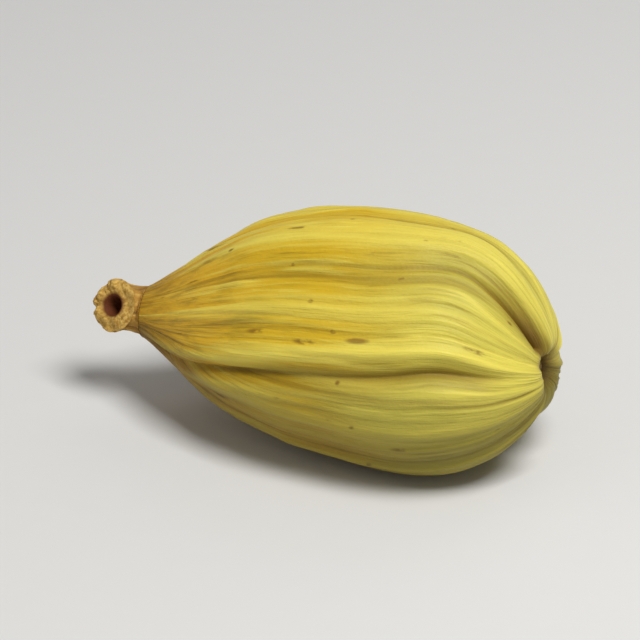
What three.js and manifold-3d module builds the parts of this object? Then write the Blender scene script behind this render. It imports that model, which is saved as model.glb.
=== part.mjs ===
// A dried green cardamom pod lying on its side: a ribbed, three-lobed husk with a withered
// beak in the dimple of its tip, and the short hollow stub of the stalk that it hung from.
// Millimetres, +Z up. X runs from the stalk to the tip, and -Y is the front.
import * as THREE from "three";
import { mergeVertices } from "three/addons/utils/BufferGeometryUtils.js";
import Module from "manifold-3d";

// Driving dimensions of the husk
const HUSK_LENGTH = 13.8; // from the neck to the tip's lobes
const HUSK_RADIUS = 3.97; // at its widest, before the lobes and ribs
const LOBE_HEIGHT = 0.2; // how far the three lobes swell out
const TIP_ROUNDING = 0.8; // share of the lobes' swelling that is gone at the tip
const BOW = 0.42; // how far the middle arches up from the line between the ends
const TIP_LIFT = 0.3; // how far the tip turns up beyond the arch
const TIP_START = 0.7; // share of the length where it begins to
const REST_DEPTH = 3.12; // from the line between the ends down to the flat spot that the pod rests on
const LOBE_ANGLE = -5; // degrees from the top, towards the front, to the first lobe's crest

// The husk's outline from the neck to the tip's beak: [share of the length, share of the radius]
const HUSK_OUTLINE = [
  [0, 0.215],
  [0.03, 0.265],
  [0.085, 0.38],
  [0.17, 0.575],
  [0.28, 0.765],
  [0.42, 0.92],
  [0.56, 0.99],
  [0.69, 1],
  [0.8, 0.93],
  [0.885, 0.78],
  [0.945, 0.58],
  [0.98, 0.38],
  [0.99, 0.23],
  [0.975, 0.135],
  [0.945, 0.1],
  [0.952, 0.075],
  [0.965, 0.042],
  [0.968, 0],
];
const ROWS_PER_POINT = 3;
const HUSK_COLUMNS = 108;

// Shares of the outline, counted along its points
const RIB_RISE = 0.3; // where the ribs reach their full height
const SHOULDER = 0.47; // where the tip's faces begin to sink
const TIP_RIM = 0.68; // the rim of the dimple
const DIMPLE = 0.8; // the floor of the dimple

// One face's ribs, and its furrows, which have a negative height. Offsets and half-widths are in
// degrees round the husk, from the crest of the face's lobe. A swing is how far round a rib begins
// at the neck from where it runs on the rest of the husk, a sway is how far it strays before the
// tip, and atTip multiplies its height there.
const FACE_RIBS = [
  { offset: -12, height: 0.09, halfWidth: 6, swing: 0, sway: -5, atTip: 0.3 },
  { offset: 15, height: 0.1, halfWidth: 7, swing: 4, sway: -9, atTip: 0.3 },
  { offset: 33, height: -0.1, halfWidth: 7, swing: 10, sway: -10, atTip: 4 },
  { offset: 55, height: 0.1, halfWidth: 6, swing: 22, sway: -8, atTip: 0.3 },
  { offset: 73, height: 0.13, halfWidth: 5, swing: 42, sway: -6, atTip: 0.3 },
  { offset: 82, height: -0.22, halfWidth: 4.5, swing: 50, sway: -6, atTip: 0.05 },
  { offset: 91, height: 0.1, halfWidth: 6, swing: 48, sway: -4, atTip: 0.3 },
];
const SWAY_PLACE = 0.8; // share of the length where a sway is full
const SWAY_REACH = 0.13; // share of the length over which it fades
const FACES = 3;
const FACE_SWAYS = [1, 0.3, -0.4]; // how much of the ribs' sway each face has
const TIP_FURROWS = [1, 1, 0]; // how much of the furrow and sink at the tip each face has
const PLAIN_AT_TIP = 0.5; // the most of a rib's height that is left at the tip of a face with none
const RIB_JITTER = 4; // degrees, on the faces behind the front one
const RIB_WAVE = 2; // degrees that a rib wanders to each side along the husk
const FACE_SINK = 0.3; // how far a face sinks between its furrows at the tip
const FACE_CENTRE = 52; // degrees from the lobe's crest to the middle of the sunk face
const FACE_HALF_WIDTH = 20;

// Driving dimensions of the stalk
const STALK_LENGTH = 1.25;
const STALK_RADIUS = 0.87;
const PITH_RADIUS = 0.3;
const PITH_DEPTH = 0.5;
const STALK_BEND = 72; // degrees from its base to its free end
const STALK_LEAN = 60; // degrees from the top, towards the front, to the side that it bends to
const STALK_GAP = 0.04; // between the husk's neck and the stalk
const STALK_COLUMNS = 32;
const STALK_FURROWS = 8;
const STALK_FURROW_DEPTH = 0.05;

const wasm = await Module();
wasm.setup();

const smooth = THREE.MathUtils.smoothstep;

// The angle from one bearing to another in degrees, from -180 to 180.
const turn = (from, to) => THREE.MathUtils.euclideanModulo(to - from + 180, 360) - 180;

// Every rib and furrow of the husk, with its own bearing and its own phase of wander.
function ribs() {
  const all = [];
  for (let face = 0; face < FACES; face++) {
    FACE_RIBS.forEach((rib, place) => {
      const phase = 2.4 * (face * FACE_RIBS.length + place);
      const jitter = face === 0 ? 0 : RIB_JITTER * Math.sin(3 * phase);
      const bearing = LOBE_ANGLE + (face * 360) / FACES + rib.offset + jitter;
      const plain = Math.min(rib.atTip, PLAIN_AT_TIP);
      const atTip = THREE.MathUtils.lerp(plain, rib.atTip, TIP_FURROWS[face]);
      const sway = rib.sway * FACE_SWAYS[face];
      all.push({ ...rib, bearing, phase, sway, atTip });
    });
  }
  return all;
}

// How far the husk's surface stands out at a bearing, in degrees, a share of its outline and a
// length from the neck.
function relief(allRibs, bearing, along, length) {
  const onHusk = smooth(along, 0, RIB_RISE) * (1 - smooth(along, TIP_RIM, DIMPLE));
  const nearTip = smooth(along, SHOULDER, TIP_RIM);
  const ahead = 1 - length / HUSK_LENGTH;
  const swayed = Math.exp(-(((1 - ahead - SWAY_PLACE) / SWAY_REACH) ** 2));
  const swelling = LOBE_HEIGHT * (1 - TIP_ROUNDING * nearTip);
  let raised = swelling * Math.cos(FACES * THREE.MathUtils.degToRad(bearing - LOBE_ANGLE));
  for (const rib of allRibs) {
    const wave = RIB_WAVE * Math.sin(6 * ahead + rib.phase);
    const course = rib.bearing + wave + rib.swing * ahead ** 3 + rib.sway * swayed;
    const away = turn(course, bearing) / rib.halfWidth;
    const height = rib.height * THREE.MathUtils.lerp(1, rib.atTip, nearTip);
    raised += height * Math.exp(-away * away);
  }
  for (let face = 0; face < FACES; face++) {
    const centre = LOBE_ANGLE + (face * 360) / FACES + FACE_CENTRE;
    const fromFace = turn(centre, bearing) / FACE_HALF_WIDTH;
    raised -= TIP_FURROWS[face] * FACE_SINK * Math.exp(-(fromFace ** 4)) * nearTip;
  }
  return raised * onHusk;
}

// Moves each vertex of a lathed shape along its normal by a formula of its bearing, its share of
// the outline and its height on the axis.
function raise(lathed, formula) {
  const { position, normal, uv } = lathed.attributes;
  const point = new THREE.Vector3();
  const outward = new THREE.Vector3();
  for (let i = 0; i < position.count; i++) {
    outward.fromBufferAttribute(normal, i);
    point.fromBufferAttribute(position, i);
    point.addScaledVector(outward, formula(360 * uv.getX(i), uv.getY(i), point.y));
    position.setXYZ(i, point.x, point.y, point.z);
  }
}

// Lays a lathed shape's axis along X, with its bearing 0 at the top and 90 at the front.
const layDown = (lathed) => lathed.rotateZ(-Math.PI / 2);

// Lifts each vertex by a formula of its place along X.
function lift(geometry, formula) {
  const { position } = geometry.attributes;
  for (let i = 0; i < position.count; i++) {
    position.setZ(i, position.getZ(i) + formula(position.getX(i)));
  }
}

// Bends a shape that stands along X upwards into an arc, by so many degrees over its length.
function bendUp(geometry, length, degrees) {
  const { position } = geometry.attributes;
  const radius = length / THREE.MathUtils.degToRad(degrees);
  for (let i = 0; i < position.count; i++) {
    const angle = position.getX(i) / radius;
    const inner = radius - position.getZ(i);
    position.setX(i, inner * Math.sin(angle));
    position.setZ(i, radius - inner * Math.cos(angle));
  }
}

function toSolid(geometry) {
  const bare = geometry.clone().deleteAttribute("normal").deleteAttribute("uv");
  const merged = mergeVertices(bare);
  const mesh = { numProp: 3, vertProperties: merged.attributes.position.array, triVerts: merged.index.array };
  return new wasm.Manifold(new wasm.Mesh(mesh));
}

function toGeometry(solid) {
  const { vertProperties, triVerts } = solid.getMesh();
  const geometry = new THREE.BufferGeometry();
  geometry.setAttribute("position", new THREE.BufferAttribute(vertProperties, 3));
  geometry.setIndex(new THREE.BufferAttribute(triVerts, 1));
  geometry.computeVertexNormals();
  return geometry;
}

// The husk, turned from its outline, ribbed, arched and cut flat where it rests.
function makeHusk() {
  const scale = new THREE.Vector2(HUSK_RADIUS, HUSK_LENGTH);
  const points = HUSK_OUTLINE.map(([along, out]) => new THREE.Vector2(out, along).multiply(scale));
  const outline = new THREE.SplineCurve(points).getPoints(ROWS_PER_POINT * (points.length - 1));
  outline.at(-1).x = 0;
  const lathed = new THREE.LatheGeometry([new THREE.Vector2(), ...outline], HUSK_COLUMNS);
  const allRibs = ribs();
  raise(lathed, (bearing, along, length) => relief(allRibs, bearing, along, length));
  layDown(lathed);
  const tipLift = (share) => TIP_LIFT * smooth(share, TIP_START, 1);
  lift(lathed, (x) => BOW * Math.sin((Math.PI * x) / HUSK_LENGTH) + tipLift(x / HUSK_LENGTH));
  const below = new THREE.BoxGeometry(2 * HUSK_LENGTH, 4 * HUSK_RADIUS, HUSK_RADIUS);
  below.translate(HUSK_LENGTH / 2, 0, -REST_DEPTH - HUSK_RADIUS / 2);
  const husk = toGeometry(toSolid(lathed).subtract(toSolid(below)));
  const material = new THREE.MeshStandardMaterial({ color: "#b9a845", roughness: 0.6, metalness: 0 });
  return new THREE.Mesh(husk, material);
}

// The stalk, a furrowed stub with an open pith hole, growing from its base along +X.
function makeStalk() {
  const outline = [
    [0, 0],
    [0.96 * STALK_RADIUS, 0],
    [0.86 * STALK_RADIUS, 0.3 * STALK_LENGTH],
    [0.88 * STALK_RADIUS, 0.62 * STALK_LENGTH],
    [STALK_RADIUS, 0.84 * STALK_LENGTH],
    [STALK_RADIUS, 0.95 * STALK_LENGTH],
    [0.85 * STALK_RADIUS, STALK_LENGTH],
    [1.2 * PITH_RADIUS, 0.97 * STALK_LENGTH],
    [PITH_RADIUS, 0.9 * STALK_LENGTH],
    [0.8 * PITH_RADIUS, STALK_LENGTH - PITH_DEPTH],
    [0, STALK_LENGTH - 1.1 * PITH_DEPTH],
  ].map(([out, along]) => new THREE.Vector2(out, along));
  const lathed = new THREE.LatheGeometry(outline, STALK_COLUMNS);
  const side = (along) => smooth(along, 0.15, 0.3) * (1 - smooth(along, 0.45, 0.6));
  const furrows = (bearing) => Math.cos(STALK_FURROWS * THREE.MathUtils.degToRad(bearing));
  raise(lathed, (bearing, along) => STALK_FURROW_DEPTH * furrows(bearing) * side(along));
  layDown(lathed);
  bendUp(lathed, STALK_LENGTH, STALK_BEND);
  const material = new THREE.MeshStandardMaterial({ color: "#a5742d", roughness: 0.8, metalness: 0 });
  return new THREE.Mesh(lathed, material);
}

const husk = makeHusk();
husk.name = "husk";

const stalk = makeStalk();
stalk.name = "stalk";
stalk.rotation.set(THREE.MathUtils.degToRad(-STALK_LEAN), 0, Math.PI, "ZXY");
stalk.position.x = -STALK_GAP;

const pod = new THREE.Group();
pod.add(husk, stalk);

// The part's origin is under the middle of the pod, on the surface that it rests on.
const box = new THREE.Box3().setFromObject(pod, true);
const middle = box.getCenter(new THREE.Vector3());
pod.position.set(-middle.x, -middle.y, -box.min.z);

const part = new THREE.Group();
part.add(pod);

export default part;
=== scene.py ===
"""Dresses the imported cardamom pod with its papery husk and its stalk, and sets its stage."""

import math
import random
from collections import namedtuple

import bmesh
import bpy
import numpy as np
from bpy.props import FloatProperty, FloatVectorProperty, PointerProperty
from mathutils import Matrix, Vector, noise


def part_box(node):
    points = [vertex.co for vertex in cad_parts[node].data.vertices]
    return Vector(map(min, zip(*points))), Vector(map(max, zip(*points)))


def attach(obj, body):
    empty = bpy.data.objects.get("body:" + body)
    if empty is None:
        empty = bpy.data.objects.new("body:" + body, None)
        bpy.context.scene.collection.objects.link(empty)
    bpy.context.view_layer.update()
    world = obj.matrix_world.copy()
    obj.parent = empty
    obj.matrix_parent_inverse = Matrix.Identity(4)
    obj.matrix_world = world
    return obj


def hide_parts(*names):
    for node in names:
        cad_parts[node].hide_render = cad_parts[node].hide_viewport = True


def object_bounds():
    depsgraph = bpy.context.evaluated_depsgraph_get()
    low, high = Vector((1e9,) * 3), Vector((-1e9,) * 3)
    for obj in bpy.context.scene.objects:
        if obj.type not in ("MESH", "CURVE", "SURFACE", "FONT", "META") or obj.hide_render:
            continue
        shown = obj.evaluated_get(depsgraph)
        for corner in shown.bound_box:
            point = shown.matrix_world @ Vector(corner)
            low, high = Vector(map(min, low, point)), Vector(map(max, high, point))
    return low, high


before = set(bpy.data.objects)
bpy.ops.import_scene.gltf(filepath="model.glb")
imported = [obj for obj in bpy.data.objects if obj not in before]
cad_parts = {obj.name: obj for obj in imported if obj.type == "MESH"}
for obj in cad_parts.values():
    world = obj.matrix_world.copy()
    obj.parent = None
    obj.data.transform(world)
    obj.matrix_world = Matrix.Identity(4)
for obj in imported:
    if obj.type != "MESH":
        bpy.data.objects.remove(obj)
CAD_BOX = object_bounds()
HUSK_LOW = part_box("husk")[0]

bl_info = {
    "name": "Cardamom Pod",
    "version": (1, 0, 0),
    "blender": (4, 5, 0),
    "location": "View3D > Sidebar > Cardamom",
    "description": "Makes a dried green cardamom pod and a stage for it",
    "category": "Add Mesh",
}

MM = 0.001
SEED = 41
MERGE_DISTANCE = 1e-7

# The husk's outline from the neck to the beak: share of the length, share of the radius
HUSK_OUTLINE = (
    (0, 0.215),
    (0.03, 0.265),
    (0.085, 0.38),
    (0.17, 0.575),
    (0.28, 0.765),
    (0.42, 0.92),
    (0.56, 0.99),
    (0.69, 1),
    (0.8, 0.93),
    (0.885, 0.78),
    (0.945, 0.58),
    (0.98, 0.38),
    (0.99, 0.23),
    (0.975, 0.135),
    (0.945, 0.1),
    (0.952, 0.075),
    (0.965, 0.042),
    (0.968, 0),
)
HUSK_ROWS = 10  # rows of the mesh between two points of the outline
HUSK_COLUMNS = 480
CAD_ROWS = 3  # rows of the solid between two points, which its shares of the outline count

# Shares of the outline, counted along its points
RIB_RISE = 0.3  # where the ribs reach their full height
SHOULDER = 0.47  # where the tip's faces begin to sink
TIP_RIM = 0.68  # the rim of the dimple
DIMPLE = 0.8  # the floor of the dimple

# One face's ribs, and its furrows, which have a negative height in millimetres. Offsets,
# half-widths, swings towards the neck and sways before the tip are in degrees round the husk, and
# at_tip multiplies a height at the tip.
Rib = namedtuple("Rib", "offset height half_width swing sway at_tip")
FACE_RIBS = (
    Rib(-12, 0.09, 6, 0, -5, 0.3),
    Rib(15, 0.1, 7, 4, -9, 0.3),
    Rib(33, -0.1, 7, 10, -10, 4),
    Rib(55, 0.1, 6, 22, -8, 0.3),
    Rib(73, 0.13, 5, 42, -6, 0.3),
    Rib(82, -0.22, 4.5, 50, -6, 0.05),
    Rib(91, 0.1, 6, 48, -4, 0.3),
)
TIP_START = 0.7  # share of the length where the tip begins to turn up
SWAY_PLACE = 0.8  # share of the length where a sway is full
SWAY_REACH = 0.13  # share of the length over which it fades
FACE_SWAYS = (1, 0.3, -0.4)  # how much of the ribs' sway each face has
TIP_FURROWS = (1, 1, 0)  # how much of the furrow and sink at the tip each face has
PLAIN_AT_TIP = 0.5  # the most of a rib's height that is left at the tip of a face with none
TIP_ROUNDING = 0.8  # share of the lobes' swelling that is gone at the tip
RIB_SCALE = 0.15  # the height in millimetres that counts as a full crest
SWING_POWER = 3  # how late a swing sets in towards the neck
FACES = 3
LOBE_ANGLE = -5  # the bearing of the first lobe's crest
RIB_JITTER = 4  # how far a rib of the second and third face may lie from its place
JITTER_RATE = 3  # how fast that changes from rib to rib
RIB_WAVE = 2  # how far a rib wanders from its course
WAVE_RATE = 6  # radians of the wander over the length
WAVE_STEP = 2.4  # radians from one rib's wander to the next one's

# The hollows between the lobes at the tip: a depth in millimetres, and degrees from a lobe's crest
FACE_SINK = 0.3
FACE_CENTRE = 52
FACE_HALF_WIDTH = 20

# The crease at the bottom of each furrow
CREASE_SHARE = 0.4  # of the furrow's depth
CREASE_HALF_WIDTH = 1.5
SHADE_WIDTH = 1.7  # how much wider than a furrow its dark band is
SHADE_DEPTH = 0.2  # the depth in millimetres that is fully dark
SHADE_RISE = (0.15, 0.5)  # shares of the length between which the dark bands begin

# Fine ridges that run between the ribs: how many, and their narrowest and widest half-width in
# degrees
Ridges = namedtuple("Ridges", "count narrowest widest")
VEINS = Ridges(46, 1.5, 2.8)
FIBRES = Ridges(130, 0.7, 1.1)
RIDGE_SWING = 0.5  # share of the ribs' swing that the ridges follow

# The range that each ridge draws from
RIDGE_PLACE = (0.1, 0.9)  # share of the room that it has round the husk
RIDGE_HEIGHT = (0.3, 1)
RIDGE_SIGNS = (1, 1, -1)  # two ridges to one groove
RIDGE_BEGINS = (0.03, 0.26)  # shares of the outline
RIDGE_ENDS = (0.42, 0.68)
RIDGE_FADE = 0.1
RIDGE_WAVE = (0.5, 1.6)  # degrees that it wanders from its course
RIDGE_WAVE_RATE = 5  # radians of that over the length

# Scales of the noise along the husk and round it, in turns a millimetre
WRINKLE_SCALE = (0.6, 1.4, 1.4)
DENT_SCALE = (0.22, 0.3, 0.3)
DENT_SHIFT = 7.3
WRINKLE_OCTAVES = 4
DENT_OCTAVES = 2
NOISE_FALL = 1.0  # how fast the finer octaves grow weaker
NOISE_STEP = 2.0  # how much finer each octave is
WITHERED = (0.12, 0.55)  # shares of the length between which the stem's deeper wrinkles fade

# Shares of the radius below the axis where the painted shade on the underside begins, and is full
SHADED_BELLY = (-0.3, 0.5)

# How much a fibre counts beside a vein, and how strongly the other marks tint the husk
FIBRE_TINT = 0.5
MOTTLE_TINT = 0.4
DASH_TINT = 0.7
SPECK_TINT = 0.8
# partly the tip nub's own brown, partly painted shade in the dimple
BEAK_AND_DIMPLE_SHADE_TINT = 0.8
# painted shade: how strongly the underside is darkened
SHADED_BELLY_TINT = 0.85
HUSK_BUMP = 0.1 * MM

STALK_ROWS = 10  # rows of the mesh between two points of the stalk's outline
STALK_COLUMNS = 180
STALK_GROOVES = 13

# The range that each groove of the stalk draws from
GROOVE_PLACE = (0.1, 0.9)  # share of the room that it has round the stalk
GROOVE_SLOPE = (-8, 8)  # degrees over the length
GROOVE_HALF_WIDTH = (3.5, 9)  # degrees
GROOVE_DEPTH = (0.02, 0.075)  # millimetres
GROOVE_SHADE = 14  # how much a groove's depth darkens it

# Shares of the stalk's outline: where its side, its rim and its hole begin, and end
SIDE_BEGINS = (0.12, 0.25)
SIDE_ENDS = (0.4, 0.54)
RIM_BEGINS = (0.45, 0.58)
RIM_ENDS = (0.66, 0.78)
HOLE_BEGINS = (0.68, 0.8)

# The stalk's strands and its worn rim: heights in millimetres, and scales of their noise
STRAND_HEIGHT = 0.045
STRAND_SCALE = (0.9, 4, 4)
STRAND_ON_RIM = 0.7
WORN_HEIGHT = 0.2
WORN_SCALE = (0.1, 1.8, 1.8)
WORN_SHIFT = 3.1
STALK_OCTAVES = 4
STALK_BUMP = 0.08 * MM

AXIS_SIDE = 0.0377 * MM  # how far the pod's axis lies behind the middle of its box

FLOOR_RADIUS = 1.5
FLOOR_SIDES = 96
FLOOR_GRAIN = 900.0  # turns a metre
FLOOR_DARKER = 0.985

# The lights' sizes, and their places from the middle of the pod, in metres
Lamp = namedtuple("Lamp", "size place")
KEY = Lamp(0.06, Vector((0.058, -0.034, 0.13)))
FILL = Lamp(0.14, Vector((-0.12, -0.09, 0.07)))
BACK = Lamp(0.1, Vector((0.02, 0.12, 0.09)))
SKY_COLOUR = (1, 0.99, 0.97, 1)

# The nearest and furthest that the camera sees, as shares of its distance
NEAR = 0.01
FAR = 100


def smooth(value, low, high):
    """A soft step from 0 at low to 1 at high."""
    share = np.clip((value - low) / (high - low), 0, 1)
    return share * share * (3 - 2 * share)


def turn(start, end):
    """The angle from one bearing to another in degrees, from -180 to 180."""
    return (end - start + 180) % 360 - 180


def bell(away):
    """A soft hump of height 1 at 0."""
    return np.exp(-away * away)


def smooth_curve(points, rows):
    """The curve that runs smoothly through the points, with so many rows between two of them."""
    last = len(points) - 1
    curve = []
    for step in range(last * rows + 1):
        start = min(step // rows, last - 1)
        share = step / rows - start
        before, here, there, after = (
            Vector(points[min(max(start + i, 0), last)]) for i in (-1, 0, 1, 2)
        )
        leave = (there - before) / 2
        arrive = (after - here) / 2
        cubic = (2 * here - 2 * there + leave + arrive) * share**3
        square = (3 * there - 3 * here - 2 * leave - arrive) * share**2
        curve.append(cubic + square + leave * share + here)
    return curve


def spin_profile(name, profile, alongs, columns):
    """A mesh turned round the X axis from a profile of (x, radius) points. Each vertex keeps its
    place along the outline, and the way that the profile faces there, as attributes."""
    shape = bmesh.new()
    along_layer = shape.verts.layers.float.new("along")
    facing_layer = shape.verts.layers.float_vector.new("facing")
    verts = []
    for index, (x, radius) in enumerate(profile):
        before = profile[max(index - 1, 0)]
        after = profile[min(index + 1, len(profile) - 1)]
        ahead = (Vector(after) - Vector(before)).normalized()
        vert = shape.verts.new((x, 0, radius))
        vert[along_layer] = alongs[index]
        vert[facing_layer] = (-ahead.y, ahead.x, 0)
        verts.append(vert)
    edges = [shape.edges.new(pair) for pair in zip(verts, verts[1:])]
    bmesh.ops.spin(
        shape,
        geom=verts + edges,
        cent=(0, 0, 0),
        axis=(1, 0, 0),
        angle=2 * math.pi,
        steps=columns,
        use_merge=True,
    )
    bmesh.ops.remove_doubles(shape, verts=shape.verts, dist=MERGE_DISTANCE)
    bmesh.ops.recalc_face_normals(shape, faces=shape.faces)
    for face in shape.faces:
        face.smooth = True
    mesh = bpy.data.meshes.new(name)
    shape.to_mesh(mesh)
    shape.free()
    return mesh


def read_points(mesh):
    """The mesh's vertices as one array of rows."""
    flat = np.empty(3 * len(mesh.vertices), np.float32)
    mesh.vertices.foreach_get("co", flat)
    return flat.reshape(-1, 3).astype(float)


def write_points(mesh, points):
    """Moves the mesh's vertices to an array of rows."""
    mesh.vertices.foreach_set("co", points.astype(np.float32).ravel())
    mesh.update()


def read_along(mesh):
    """Each vertex's place along the outline that the mesh was turned from."""
    values = np.empty(len(mesh.vertices), np.float32)
    mesh.attributes["along"].data.foreach_get("value", values)
    return values.astype(float)


def read_facing(mesh):
    """The way that the turned profile faces at each vertex: along the axis, and out from it."""
    flat = np.empty(3 * len(mesh.vertices), np.float32)
    mesh.attributes["facing"].data.foreach_get("vector", flat)
    rows = flat.reshape(-1, 3).astype(float)
    return rows[:, 0], rows[:, 1]


def keep_value(mesh, name, values):
    """Stores a number at each vertex for the finish to read."""
    attribute = mesh.attributes.new(name, "FLOAT", "POINT")
    attribute.data.foreach_set("value", values.astype(np.float32))


def keep_vector(mesh, name, rows):
    """Stores a vector at each vertex for the finish to read."""
    attribute = mesh.attributes.new(name, "FLOAT_VECTOR", "POINT")
    attribute.data.foreach_set("vector", rows.astype(np.float32).ravel())


def noise_at(rows, octaves):
    """Fractal noise at each row of coordinates, about -1 to 1."""
    return np.array([noise.fractal(Vector(row), NOISE_FALL, NOISE_STEP, octaves) for row in rows])


def add_piece(name, mesh, finish, node):
    """Puts a finished mesh in the scene in place of a CAD node."""
    piece = bpy.data.objects.new(name, mesh)
    bpy.context.scene.collection.objects.link(piece)
    mesh.materials.append(finish)
    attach(piece, "root")
    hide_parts(node)


class Value:
    """A socket that takes Python's operators: each one adds a Math node."""

    def __init__(self, finish, socket):
        self.finish = finish
        self.socket = socket

    def math(self, operation, first, second):
        return self.finish.node("ShaderNodeMath", {"operation": operation}, {0: first, 1: second})

    def __add__(self, other):
        return self.math("ADD", self, other)

    def __radd__(self, other):
        return self.math("ADD", other, self)

    def __sub__(self, other):
        return self.math("SUBTRACT", self, other)

    def __rsub__(self, other):
        return self.math("SUBTRACT", other, self)

    def __mul__(self, other):
        return self.math("MULTIPLY", self, other)

    def __rmul__(self, other):
        return self.math("MULTIPLY", other, self)


class Finish:
    """A material made of nodes round one Principled shader."""

    def __init__(self, name):
        self.material = bpy.data.materials.new(name)
        self.material.use_nodes = True
        self.tree = self.material.node_tree
        self.shader = self.tree.nodes["Principled BSDF"]

    def node(self, kind, settings, sockets, output=0):
        """Adds a node: its settings first, then a number, colour or link for each socket."""
        made = self.tree.nodes.new(kind)
        for name, setting in settings.items():
            setattr(made, name, setting)
        self.fill(made, sockets)
        return Value(self, made.outputs[output])

    def fill(self, made, sockets):
        """Sets or links a node's sockets."""
        for name, given in sockets.items():
            if isinstance(given, Value):
                self.tree.links.new(given.socket, made.inputs[name])
            else:
                made.inputs[name].default_value = given

    def attribute(self, name, output="Fac"):
        return self.node("ShaderNodeAttribute", {"attribute_name": name}, {}, output)

    def stretch(self, fibre, along, across):
        """Fibre coordinates scaled by one number along the fibres and another across them."""
        scale = (along, across, across)
        return self.node("ShaderNodeVectorMath", {"operation": "MULTIPLY"}, {0: fibre, 1: scale})

    def clouds(self, vector, scale, detail, roughness):
        """Noise, about 0.2 to 0.8."""
        sockets = {"Vector": vector, "Scale": scale, "Detail": detail, "Roughness": roughness}
        return self.node("ShaderNodeTexNoise", {}, sockets)

    def drawn_out(self, fibre, along, across, detail, roughness):
        """Noise drawn out along the fibres."""
        return self.clouds(self.stretch(fibre, along, across), 1.0, detail, roughness)

    def cells(self, fibre, along, across):
        """The distance to the nearest of many points scattered among the fibres."""
        sockets = {"Vector": self.stretch(fibre, along, across), "Scale": 1.0}
        return self.node("ShaderNodeTexVoronoi", {}, sockets)

    def band(self, value, low, high):
        """A soft step from 0 at low to 1 at high, which may be the lower number."""
        if low > high:
            return 1 - self.band(value, high, low)
        settings = {"interpolation_type": "SMOOTHSTEP"}
        sockets = {"Value": value, "From Min": low, "From Max": high}
        return self.node("ShaderNodeMapRange", settings, sockets)

    def mix(self, share, first, second, blend="MIX"):
        """One colour laid over another by a share."""
        settings = {"data_type": "RGBA", "blend_type": blend, "clamp_factor": True}
        sockets = {0: share, 6: (*first, 1) if isinstance(first, tuple) else first}
        sockets[7] = (*second, 1) if isinstance(second, tuple) else second
        return self.node("ShaderNodeMix", settings, sockets, 2)

    def tint(self, colour, over, value, start, full, strength):
        """A colour with another laid over it as a value goes from start to full."""
        return self.mix(self.band(value, start, full) * strength, colour, over)

    def bump(self, height, distance):
        """A normal that a height roughens by so many metres."""
        sockets = {"Height": height, "Distance": distance, "Strength": 1.0}
        return self.node("ShaderNodeBump", {}, sockets)


def colour_property(name, description, default):
    return FloatVectorProperty(
        name=name, description=description, subtype="COLOR", size=3, min=0, max=1, default=default
    )


def length_property(name, description, default):
    return FloatProperty(
        name=name, description=description, default=default * MM, min=0, precision=5, unit="LENGTH"
    )


def angle_property(name, description, default):
    return FloatProperty(
        name=name, description=description, default=math.radians(default), subtype="ANGLE"
    )


class HuskSettings(bpy.types.PropertyGroup):
    """Sizes and colours of the husk."""

    length: length_property("Length", "From the neck to the tip's lobes", 13.8)
    radius: length_property("Radius", "At its widest, before the lobes and ribs", 3.97)
    lobe_height: length_property("Lobe height", "How far the three lobes swell out", 0.2)
    bow: length_property("Bow", "How far the middle arches up", 0.42)
    tip_lift: length_property("Tip lift", "How far the tip turns up beyond the arch", 0.3)
    rest_depth: length_property("Rest depth", "From the axis down to the resting spot", 3.12)
    vein_height: length_property("Vein height", "Of the ridges between the ribs", 0.068)
    fibre_height: length_property("Fibre height", "Of the finest ridges", 0.024)
    wrinkle_height: length_property("Wrinkle height", "Of wrinkles, double at the stem", 0.034)
    dent_height: length_property("Dent height", "Of the broad dents", 0.05)
    gold: colour_property("Gold", "The main colour of the middle", (0.70, 0.455, 0.014))
    lime: colour_property("Lime", "The greener tip", (0.565, 0.525, 0.085))
    # also used for painted highlights on the crests, the veins and the tip's lobes
    straw_and_highlight: colour_property("Straw", "Pale fibres and crests", (0.90, 0.765, 0.12))
    # painted shade: the tint that darkens the underside
    shaded_belly: colour_property("Belly", "The tint of the dull belly", (0.34, 0.315, 0.22))
    amber: colour_property("Amber", "The stem half", (0.86, 0.48, 0.018))
    # also used for painted shade in the furrows and the veins' grooves
    umber_and_shade: colour_property("Umber", "Dark fibres and furrows", (0.24, 0.14, 0.006))
    # also used for painted shade in the tip's deep furrow and its dimple
    rust_and_shade: colour_property("Rust", "The neck and the specks", (0.18, 0.06, 0.005))


class StalkSettings(bpy.types.PropertyGroup):
    """Sizes and colours of the stalk."""

    length: length_property("Length", "From the neck to the free end", 1.25)
    radius: length_property("Radius", "At the rim of the free end", 0.87)
    pith_radius: length_property("Pith radius", "Of the hole in the free end", 0.3)
    pith_depth: length_property("Pith depth", "Of the hole in the free end", 0.5)
    gap: length_property("Gap", "From the husk's neck to the stalk", 0.04)
    bend: angle_property("Bend", "From the base to the free end", 72)
    lean: angle_property("Lean", "From the top to the side that it bends to", 60)
    bark: colour_property("Bark", "The main colour", (0.46, 0.245, 0.035))
    fibre: colour_property("Fibre", "Pale strands and the rim", (0.74, 0.48, 0.12))
    pith: colour_property("Pith", "The inside of the hole", (0.13, 0.03, 0.004))


class StageSettings(bpy.types.PropertyGroup):
    """The view and the light."""

    floor_colour: colour_property("Floor", "The plain floor", (0.76, 0.755, 0.74))
    azimuth: angle_property("Azimuth", "The camera's bearing round the pod", 19.6)
    elevation: angle_property("Elevation", "The camera's height above the horizon", 28)
    view_width: length_property("View width", "Of the picture, at the pod", 20.5)
    lens: FloatProperty(name="Lens", description="Focal length", default=250, unit="CAMERA")
    key_power: FloatProperty(name="Key", description="The key light", default=0.185, unit="POWER")
    fill_power: FloatProperty(
        name="Fill", description="The fill light and the back light", default=0.02, unit="POWER"
    )
    sky: FloatProperty(name="Sky", description="Strength of the light all round", default=0.185)


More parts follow.
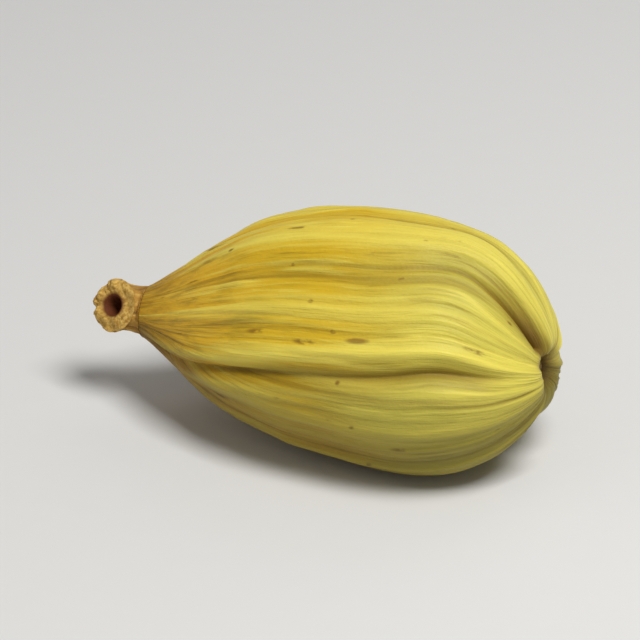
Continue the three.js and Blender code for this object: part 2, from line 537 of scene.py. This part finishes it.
def husk_ribs():
    """Every rib and furrow of the husk as (bearing, phase of wander, rib)."""
    ribs = []
    for face in range(FACES):
        for place, rib in enumerate(FACE_RIBS):
            phase = WAVE_STEP * (face * len(FACE_RIBS) + place)
            jitter = RIB_JITTER * math.sin(JITTER_RATE * phase) if face else 0
            bearing = LOBE_ANGLE + face * 360 / FACES + rib.offset + jitter
            plain = min(rib.at_tip, PLAIN_AT_TIP)
            at_tip = plain + (rib.at_tip - plain) * TIP_FURROWS[face]
            sway = rib.sway * FACE_SWAYS[face]
            ribs.append((bearing, phase, rib._replace(sway=sway, at_tip=at_tip)))
    return ribs


def swayed_at(ahead):
    """The share of a sway that a rib has at a place along the husk."""
    return bell((1 - ahead - SWAY_PLACE) / SWAY_REACH)


def drift_at(bearing, ahead):
    """How far round the fibres at a bearing run from their straight course, in degrees."""
    first = LOBE_ANGLE + FACE_RIBS[0].offset
    places, swings, sways = [], [], []
    for face in range(FACES + 1):
        for rib in FACE_RIBS:
            places.append(LOBE_ANGLE + face * 360 / FACES + rib.offset)
            swings.append(rib.swing)
            sways.append(rib.sway * FACE_SWAYS[face % FACES])
    place = (bearing - first) % 360 + first
    swing = np.interp(place, places, swings)
    sway = np.interp(place, places, sways)
    return RIDGE_SWING * swing * ahead**SWING_POWER + sway * swayed_at(ahead)


def rib_relief(bearing, ahead, near_tip):
    """How far the ribs and furrows stand out in millimetres, and how much painted shade darkens
    the furrows.
    """
    raised = np.zeros_like(bearing)
    shade = np.zeros_like(bearing)
    for start, phase, rib in husk_ribs():
        wave = RIB_WAVE * np.sin(WAVE_RATE * ahead + phase)
        course = start + wave + rib.swing * ahead**SWING_POWER + rib.sway * swayed_at(ahead)
        away = turn(course, bearing)
        height = rib.height * (1 + (rib.at_tip - 1) * near_tip)
        raised += height * bell(away / rib.half_width)
        if rib.height < 0:
            raised += CREASE_SHARE * height * bell(away / CREASE_HALF_WIDTH)
            shade -= height / SHADE_DEPTH * bell(away / rib.half_width / SHADE_WIDTH)
    return raised, shade


def face_sink(bearing):
    """How far the tip's faces sink between their furrows, in millimetres."""
    sunk = np.zeros_like(bearing)
    for face, furrowed in enumerate(TIP_FURROWS):
        centre = LOBE_ANGLE + face * 360 / FACES + FACE_CENTRE
        sunk += furrowed * FACE_SINK * np.exp(-((turn(centre, bearing) / FACE_HALF_WIDTH) ** 4))
    return sunk


def ridge_relief(bearing, along, ahead, ridges, draw):
    """How far one kind of fine ridge stands out, as a share of its height."""
    raised = np.zeros_like(bearing)
    for ridge in range(ridges.count):
        start = (ridge + draw.uniform(*RIDGE_PLACE)) * 360 / ridges.count
        height = draw.uniform(*RIDGE_HEIGHT) * draw.choice(RIDGE_SIGNS)
        half_width = draw.uniform(ridges.narrowest, ridges.widest)
        begins = draw.uniform(*RIDGE_BEGINS)
        ends = draw.uniform(*RIDGE_ENDS)
        wave = draw.uniform(*RIDGE_WAVE)
        phase = draw.uniform(0, 2 * math.pi)
        course = start + wave * np.sin(RIDGE_WAVE_RATE * ahead + phase) + drift_at(start, ahead)
        away = turn(course, bearing) / half_width
        present = smooth(along, begins, begins + RIDGE_FADE)
        present = present * (1 - smooth(along, ends, ends + RIDGE_FADE))
        raised += height * present * bell(away)
    return raised


def make_husk(settings):
    """The husk: spun from its outline, ribbed, creased, arched, and flat where it rests."""
    draw = random.Random(SEED)
    rows = smooth_curve(HUSK_OUTLINE, HUSK_ROWS)
    profile = [(0, 0)] + [(p.x * settings.length, max(p.y, 0) * settings.radius) for p in rows]
    count = CAD_ROWS * (len(HUSK_OUTLINE) - 1) + 1
    alongs = [0] + [(1 + CAD_ROWS * index / HUSK_ROWS) / count for index in range(len(rows))]
    mesh = spin_profile("husk_shell", profile, alongs, HUSK_COLUMNS)

    points = read_points(mesh)
    along = read_along(mesh)
    facing_x, facing_out = read_facing(mesh)
    x = points[:, 0]
    radius = np.hypot(points[:, 1], points[:, 2])
    angle = np.arctan2(-points[:, 1], points[:, 2])
    bearing = np.degrees(angle)
    ahead = 1 - x / settings.length

    on_husk = smooth(along, 0, RIB_RISE) * (1 - smooth(along, TIP_RIM, DIMPLE))
    near_tip = smooth(along, SHOULDER, TIP_RIM)
    ribs, shade = rib_relief(bearing, ahead, near_tip)
    veins = ridge_relief(bearing, along, ahead, VEINS, draw)
    fibres = ridge_relief(bearing, along, ahead, FIBRES, draw)
    swelling = settings.lobe_height * (1 - TIP_ROUNDING * near_tip)
    lobes = swelling * np.cos(FACES * np.radians(bearing - LOBE_ANGLE))
    sunk = face_sink(bearing) * near_tip

    straight = np.radians(bearing - drift_at(bearing, np.clip(ahead, 0, 1)))
    round_y = settings.radius / MM * np.sin(straight)
    round_z = settings.radius / MM * np.cos(straight)
    fibre = np.column_stack((x / MM, round_y, round_z))
    withered = 1 - smooth(1 - ahead, *WITHERED)
    wrinkles = noise_at(fibre * WRINKLE_SCALE, WRINKLE_OCTAVES)
    wrinkles = settings.wrinkle_height * (1 + withered) * wrinkles
    dents = settings.dent_height * noise_at(fibre * DENT_SCALE + DENT_SHIFT, DENT_OCTAVES)

    lift = lobes + MM * (ribs - sunk) + wrinkles + dents
    lift = (lift + settings.vein_height * veins + settings.fibre_height * fibres) * on_husk
    x = x + facing_x * lift
    radius = radius + facing_out * lift
    arch = settings.bow * np.sin(math.pi * x / settings.length)
    arch = arch + settings.tip_lift * smooth(x / settings.length, TIP_START, 1)
    placed = np.column_stack((x, -radius * np.sin(angle), radius * np.cos(angle) + arch))
    placed += (HUSK_LOW.x, AXIS_SIDE, settings.rest_depth)
    placed[:, 2] = np.maximum(placed[:, 2], 0)
    write_points(mesh, placed)

    keep_vector(mesh, "fibre", fibre)
    # rib relief, which the finish paints with highlights on the crests and shade in the furrows
    keep_value(mesh, "crest", ribs * on_husk / RIB_SCALE)
    # fine ridges, which the finish paints with highlights on their tops and shade in their grooves
    keep_value(mesh, "vein", (veins + FIBRE_TINT * fibres) * on_husk)
    keep_value(mesh, "reach", 1 - ahead)
    keep_value(mesh, "shade", shade * on_husk * smooth(1 - ahead, *SHADE_RISE))
    # painted shade, full towards the underside
    keep_value(mesh, "shaded_belly", smooth(-np.cos(angle), *SHADED_BELLY))
    # the tip's dimple and nub, darkened partly as painted shade
    keep_value(mesh, "beak_and_dimple_shade", smooth(along, TIP_RIM, DIMPLE))
    return mesh


def husk_finish(settings):
    """Papery husk: fibres that run with the ribs, painted highlights on the crests and veins,
    painted shade in the furrows, and rusty dashes.
    """
    finish = Finish("cardamom_husk")
    gold, lime, straw_and_highlight = (tuple(c) for c in (settings.gold, settings.lime, settings.straw_and_highlight))
    amber, umber_and_shade, rust_and_shade = (tuple(c) for c in (settings.amber, settings.umber_and_shade, settings.rust_and_shade))
    fibre = finish.attribute("fibre", "Vector")
    crest = finish.attribute("crest")
    vein = finish.attribute("vein")
    reach = finish.attribute("reach")
    shade = finish.attribute("shade")
    shaded_belly = finish.attribute("shaded_belly")
    beak_and_dimple_shade = finish.attribute("beak_and_dimple_shade")

    streaks = finish.drawn_out(fibre, along=0.16, across=2.2, detail=5.0, roughness=0.62)
    strands = finish.drawn_out(fibre, along=0.45, across=8.0, detail=3.0, roughness=0.6)
    patches = finish.drawn_out(fibre, along=0.22, across=0.4, detail=3.0, roughness=0.5)
    stains = finish.drawn_out(fibre, along=0.8, across=1.5, detail=4.0, roughness=0.6)
    grain = finish.clouds(fibre, scale=9.0, detail=3.0, roughness=0.6)

    # Golden in the middle, greener and then paler at the tip, the paleness partly painted
    # highlight on the tip's lobes, and orange and mottled at the stem
    ripe = reach + 0.7 * (patches - 0.5)
    stained = reach + 0.5 * (stains - 0.5)
    mottled = finish.band(stains, 0.5, 0.66) * finish.band(reach, 0.45, 0.12)
    colour = finish.tint(gold, lime, ripe, start=0.4, full=0.85, strength=0.85)
    # partly the tip's paler tone, partly painted highlight on the tip's lobes
    colour = finish.tint(colour, straw_and_highlight, reach, start=0.8, full=1.0, strength=0.5)
    colour = finish.tint(colour, amber, stained, start=0.42, full=0.04, strength=0.85)
    colour = finish.mix(mottled * MOTTLE_TINT, colour, rust_and_shade)

    # Pale and dark fibres
    colour = finish.tint(colour, straw_and_highlight, streaks, start=0.51, full=0.63, strength=0.6)
    colour = finish.tint(colour, umber_and_shade, streaks, start=0.46, full=0.33, strength=0.6)
    colour = finish.tint(colour, straw_and_highlight, strands, start=0.54, full=0.72, strength=0.35)
    colour = finish.tint(colour, umber_and_shade, strands, start=0.44, full=0.28, strength=0.35)

    # Painted highlights on the rib crests and raised veins, and painted shade in the furrows and
    # the veins' grooves
    colour = finish.tint(colour, straw_and_highlight, crest, start=0.1, full=0.8, strength=0.6)
    colour = finish.tint(colour, umber_and_shade, shade, start=0.1, full=1.1, strength=0.5)
    colour = finish.tint(colour, umber_and_shade, crest, start=-0.5, full=-1.9, strength=0.6)
    # painted shade, darkest in the tip's deep furrow
    colour = finish.tint(colour, rust_and_shade, shade, start=0.9, full=2.1, strength=0.6)
    colour = finish.tint(colour, straw_and_highlight, vein, start=0.15, full=0.9, strength=0.45)
    colour = finish.tint(colour, umber_and_shade, vein, start=-0.1, full=-0.9, strength=0.55)

    # Rusty dashes and specks, the neck, the nub at the tip with painted shade in its dimple, and
    # painted shade on the underside
    dash = finish.band(finish.cells(fibre, along=0.4, across=1.7), 0.22, 0.08)
    speck = finish.band(finish.cells(fibre, along=1.1, across=1.5), 0.15, 0.05)
    colour = finish.mix(dash * finish.band(stains, 0.5, 0.6) * DASH_TINT, colour, rust_and_shade)
    colour = finish.mix(speck * finish.band(stains, 0.45, 0.58) * SPECK_TINT, colour, rust_and_shade)
    colour = finish.tint(colour, rust_and_shade, stained, start=0.12, full=-0.06, strength=0.6)
    # partly the nub's own brown, partly painted shade in the tip's dimple
    colour = finish.mix(beak_and_dimple_shade * BEAK_AND_DIMPLE_SHADE_TINT, colour, rust_and_shade)
    # painted shade: the underside is multiplied darker
    colour = finish.mix(shaded_belly * SHADED_BELLY_TINT, colour, tuple(settings.shaded_belly), "MULTIPLY")

    rough = 0.44 + 0.2 * strands - 0.08 * finish.band(crest, 0.0, 1.0)
    height = 0.5 * strands + 0.35 * streaks + 0.15 * grain
    finish.fill(
        finish.shader,
        {
            "Base Color": colour,
            "Roughness": rough,
            "Normal": finish.bump(height, HUSK_BUMP),
            "Specular IOR Level": 0.3,
            "Sheen Weight": 0.04,
        },
    )
    return finish.material


def make_stalk(settings):
    """The stalk: a fibrous stub with a worn rim and an open pith hole, bent to the front."""
    draw = random.Random(SEED + 1)
    long, wide = settings.length, settings.radius
    hole, deep = settings.pith_radius, settings.pith_depth
    outline = (
        (-0.06 * long, 0),
        (-0.06 * long, 0.93 * wide),
        (0, 0.95 * wide),
        (0.3 * long, 0.87 * wide),
        (0.62 * long, 0.9 * wide),
        (0.84 * long, wide),
        (0.95 * long, wide),
        (long, 0.85 * wide),
        (0.98 * long, 1.35 * hole),
        (0.9 * long, hole),
        (long - deep, 0.8 * hole),
        (long - 1.1 * deep, 0),
    )
    rows = smooth_curve(outline, STALK_ROWS)
    profile = [(p.x, max(p.y, 0)) for p in rows]
    alongs = [index / (len(rows) - 1) for index in range(len(rows))]
    mesh = spin_profile("stalk_stub", profile, alongs, STALK_COLUMNS)

    points = read_points(mesh)
    along = read_along(mesh)
    facing_x, facing_out = read_facing(mesh)
    x = points[:, 0]
    radius = np.hypot(points[:, 1], points[:, 2])
    angle = np.arctan2(-points[:, 1], points[:, 2])
    bearing = np.degrees(angle)
    out = radius / wide
    ring = np.column_stack((x / MM, out * np.sin(angle), out * np.cos(angle)))
    side = smooth(along, *SIDE_BEGINS) * (1 - smooth(along, *SIDE_ENDS))
    rim = smooth(along, *RIM_BEGINS) * (1 - smooth(along, *RIM_ENDS))
    grooves = np.zeros_like(bearing)
    for groove in range(STALK_GROOVES):
        start = (groove + draw.uniform(*GROOVE_PLACE)) * 360 / STALK_GROOVES
        slope = draw.uniform(*GROOVE_SLOPE) * x / long
        half_width = draw.uniform(*GROOVE_HALF_WIDTH)
        depth = draw.uniform(*GROOVE_DEPTH)
        grooves -= depth * bell(turn(start + slope, bearing) / half_width)
    strands = noise_at(ring * STRAND_SCALE, STALK_OCTAVES)
    worn = noise_at(ring * WORN_SCALE + WORN_SHIFT, STALK_OCTAVES)
    fibrous = np.maximum(side, STRAND_ON_RIM * rim)
    lift = MM * (grooves * side + STRAND_HEIGHT * strands * fibrous)
    x = x + facing_x * lift + MM * WORN_HEIGHT * worn * rim
    radius = radius + facing_out * lift

    bend_radius = settings.length / settings.bend
    turned = x / bend_radius
    inner = bend_radius - radius * np.cos(angle)
    bent = np.column_stack(
        (inner * np.sin(turned), -radius * np.sin(angle), bend_radius - inner * np.cos(turned))
    )
    lean = Matrix.Rotation(math.pi, 3, "Z") @ Matrix.Rotation(-settings.lean, 3, "X")
    placed = bent @ np.array(lean).T
    placed += (HUSK_LOW.x - settings.gap, AXIS_SIDE, bpy.context.scene.pod_husk.rest_depth)
    write_points(mesh, placed)

    keep_vector(mesh, "fibre", ring)
    keep_value(mesh, "hole", smooth(along, *HOLE_BEGINS))
    keep_value(mesh, "rim", rim)
    # the strands' own tone, plus painted shade by each groove's depth
    keep_value(mesh, "crest", strands * side + GROOVE_SHADE * grooves * side)
    return mesh


def stalk_finish(settings):
    """Dry stalk: pale strands over brown bark, painted shade in its grooves, a paler torn rim and
    a dark pith hole.
    """
    finish = Finish("cardamom_stalk")
    bark, pale, pith = (tuple(c) for c in (settings.bark, settings.fibre, settings.pith))
    fibre = finish.attribute("fibre", "Vector")
    crest = finish.attribute("crest")
    hole = finish.attribute("hole")
    rim = finish.attribute("rim")
    strands = finish.drawn_out(fibre, along=0.8, across=6.0, detail=5.0, roughness=0.6)
    stains = finish.drawn_out(fibre, along=1.4, across=1.6, detail=3.0, roughness=0.5)
    colour = finish.tint(bark, pale, strands, start=0.42, full=0.66, strength=0.7)
    # darker where the strands are low and painted shade in the grooves
    colour = finish.tint(colour, pith, crest, start=0.0, full=-0.9, strength=0.6)
    colour = finish.tint(colour, pith, stains, start=0.52, full=0.7, strength=0.4)
    colour = finish.mix(rim * finish.band(strands, 0.36, 0.6) * 0.75, colour, pale)
    colour = finish.mix(finish.band(hole, 0.02, 0.7), colour, pith)
    height = 0.7 * strands + 0.3 * stains
    finish.fill(
        finish.shader,
        {
            "Base Color": colour,
            "Roughness": 0.62 + 0.25 * strands,
            "Normal": finish.bump(height, STALK_BUMP),
            "Specular IOR Level": 0.35,
        },
    )
    return finish.material


def floor_finish(settings):
    """A plain pale floor with the faintest grain."""
    finish = Finish("stage_floor")
    place = finish.node("ShaderNodeTexCoord", {}, {}, "Object")
    grain = finish.clouds(place, scale=FLOOR_GRAIN, detail=2.0, roughness=0.55)
    base = tuple(settings.floor_colour)
    darker = tuple(FLOOR_DARKER * channel for channel in base)
    colour = finish.mix(grain, base, darker)
    finish.fill(finish.shader, {"Base Color": colour, "Roughness": 0.9, "Specular IOR Level": 0.2})
    return finish.material


def add_light(name, power, lamp, aim):
    """A square soft light, turned to the aim."""
    area = bpy.data.lights.new(name, "AREA")
    area.energy = power
    area.size = lamp.size
    light = bpy.data.objects.new(name, area)
    place = aim + lamp.place
    light.location = place
    light.rotation_euler = (aim - place).to_track_quat("-Z", "Y").to_euler()
    bpy.context.scene.collection.objects.link(light)


class CARDAMOM_OT_make_husk(bpy.types.Operator):
    """Make the ribbed husk"""

    bl_idname = "cardamom.make_husk"
    bl_label = "Make Husk"

    def execute(self, context):
        settings = context.scene.pod_husk
        add_piece("pod_husk", make_husk(settings), husk_finish(settings), "husk")
        return {"FINISHED"}


class CARDAMOM_OT_make_stalk(bpy.types.Operator):
    """Make the stub of the stalk"""

    bl_idname = "cardamom.make_stalk"
    bl_label = "Make Stalk"

    def execute(self, context):
        settings = context.scene.pod_stalk
        add_piece("pod_stalk", make_stalk(settings), stalk_finish(settings), "stalk")
        return {"FINISHED"}


class CARDAMOM_OT_make_stage(bpy.types.Operator):
    """Make the floor, the lights and the camera"""

    bl_idname = "cardamom.make_stage"
    bl_label = "Make Stage"

    def execute(self, context):
        settings = context.scene.pod_stage
        scene = context.scene
        low, high = CAD_BOX
        middle = (low + high) / 2

        shape = bmesh.new()
        bmesh.ops.create_circle(
            shape, cap_ends=True, radius=FLOOR_RADIUS, segments=FLOOR_SIDES
        )
        mesh = bpy.data.meshes.new("floor")
        shape.to_mesh(mesh)
        shape.free()
        mesh.materials.append(floor_finish(settings))
        floor = bpy.data.objects.new("floor", mesh)
        scene.collection.objects.link(floor)

        add_light("key", settings.key_power, KEY, middle)
        add_light("fill", settings.fill_power, FILL, middle)
        add_light("back", settings.fill_power, BACK, middle)

        world = bpy.data.worlds.new("sky")
        world.use_nodes = True
        background = world.node_tree.nodes["Background"]
        background.inputs["Color"].default_value = SKY_COLOUR
        background.inputs["Strength"].default_value = settings.sky
        scene.world = world

        camera = bpy.data.objects.new("camera", bpy.data.cameras.new("camera"))
        camera.data.lens = settings.lens
        level = math.cos(settings.elevation)
        back = Vector(
            (
                math.sin(settings.azimuth) * level,
                -math.cos(settings.azimuth) * level,
                math.sin(settings.elevation),
            )
        )
        distance = settings.view_width * settings.lens / camera.data.sensor_width
        camera.location = middle + back * distance
        camera.rotation_euler = (-back).to_track_quat("-Z", "Y").to_euler()
        camera.data.clip_start = NEAR * distance
        camera.data.clip_end = FAR * distance
        scene.collection.objects.link(camera)
        scene.camera = camera
        scene.view_settings.view_transform = "Standard"
        return {"FINISHED"}


class CARDAMOM_PT_pod(bpy.types.Panel):
    """Lists the pod's pieces and their settings"""

    bl_label = "Cardamom Pod"
    bl_space_type = "VIEW_3D"
    bl_region_type = "UI"
    bl_category = "Cardamom"

    def draw(self, context):
        for operator, group in PANEL_ROWS:
            box = self.layout.box()
            box.operator(operator)
            settings = getattr(context.scene, group)
            for name in settings.__annotations__:
                box.prop(settings, name)


PANEL_ROWS = (
    ("cardamom.make_husk", "pod_husk"),
    ("cardamom.make_stalk", "pod_stalk"),
    ("cardamom.make_stage", "pod_stage"),
)
CLASSES = (
    HuskSettings,
    StalkSettings,
    StageSettings,
    CARDAMOM_OT_make_husk,
    CARDAMOM_OT_make_stalk,
    CARDAMOM_OT_make_stage,
    CARDAMOM_PT_pod,
)


def register():
    for made in CLASSES:
        bpy.utils.register_class(made)
    bpy.types.Scene.pod_husk = PointerProperty(type=HuskSettings)
    bpy.types.Scene.pod_stalk = PointerProperty(type=StalkSettings)
    bpy.types.Scene.pod_stage = PointerProperty(type=StageSettings)


def unregister():
    del bpy.types.Scene.pod_stage
    del bpy.types.Scene.pod_stalk
    del bpy.types.Scene.pod_husk
    for made in reversed(CLASSES):
        bpy.utils.unregister_class(made)


def main():
    register()
    bpy.ops.cardamom.make_husk()
    bpy.ops.cardamom.make_stalk()
    bpy.ops.cardamom.make_stage()


if __name__ == "__main__":
    main()
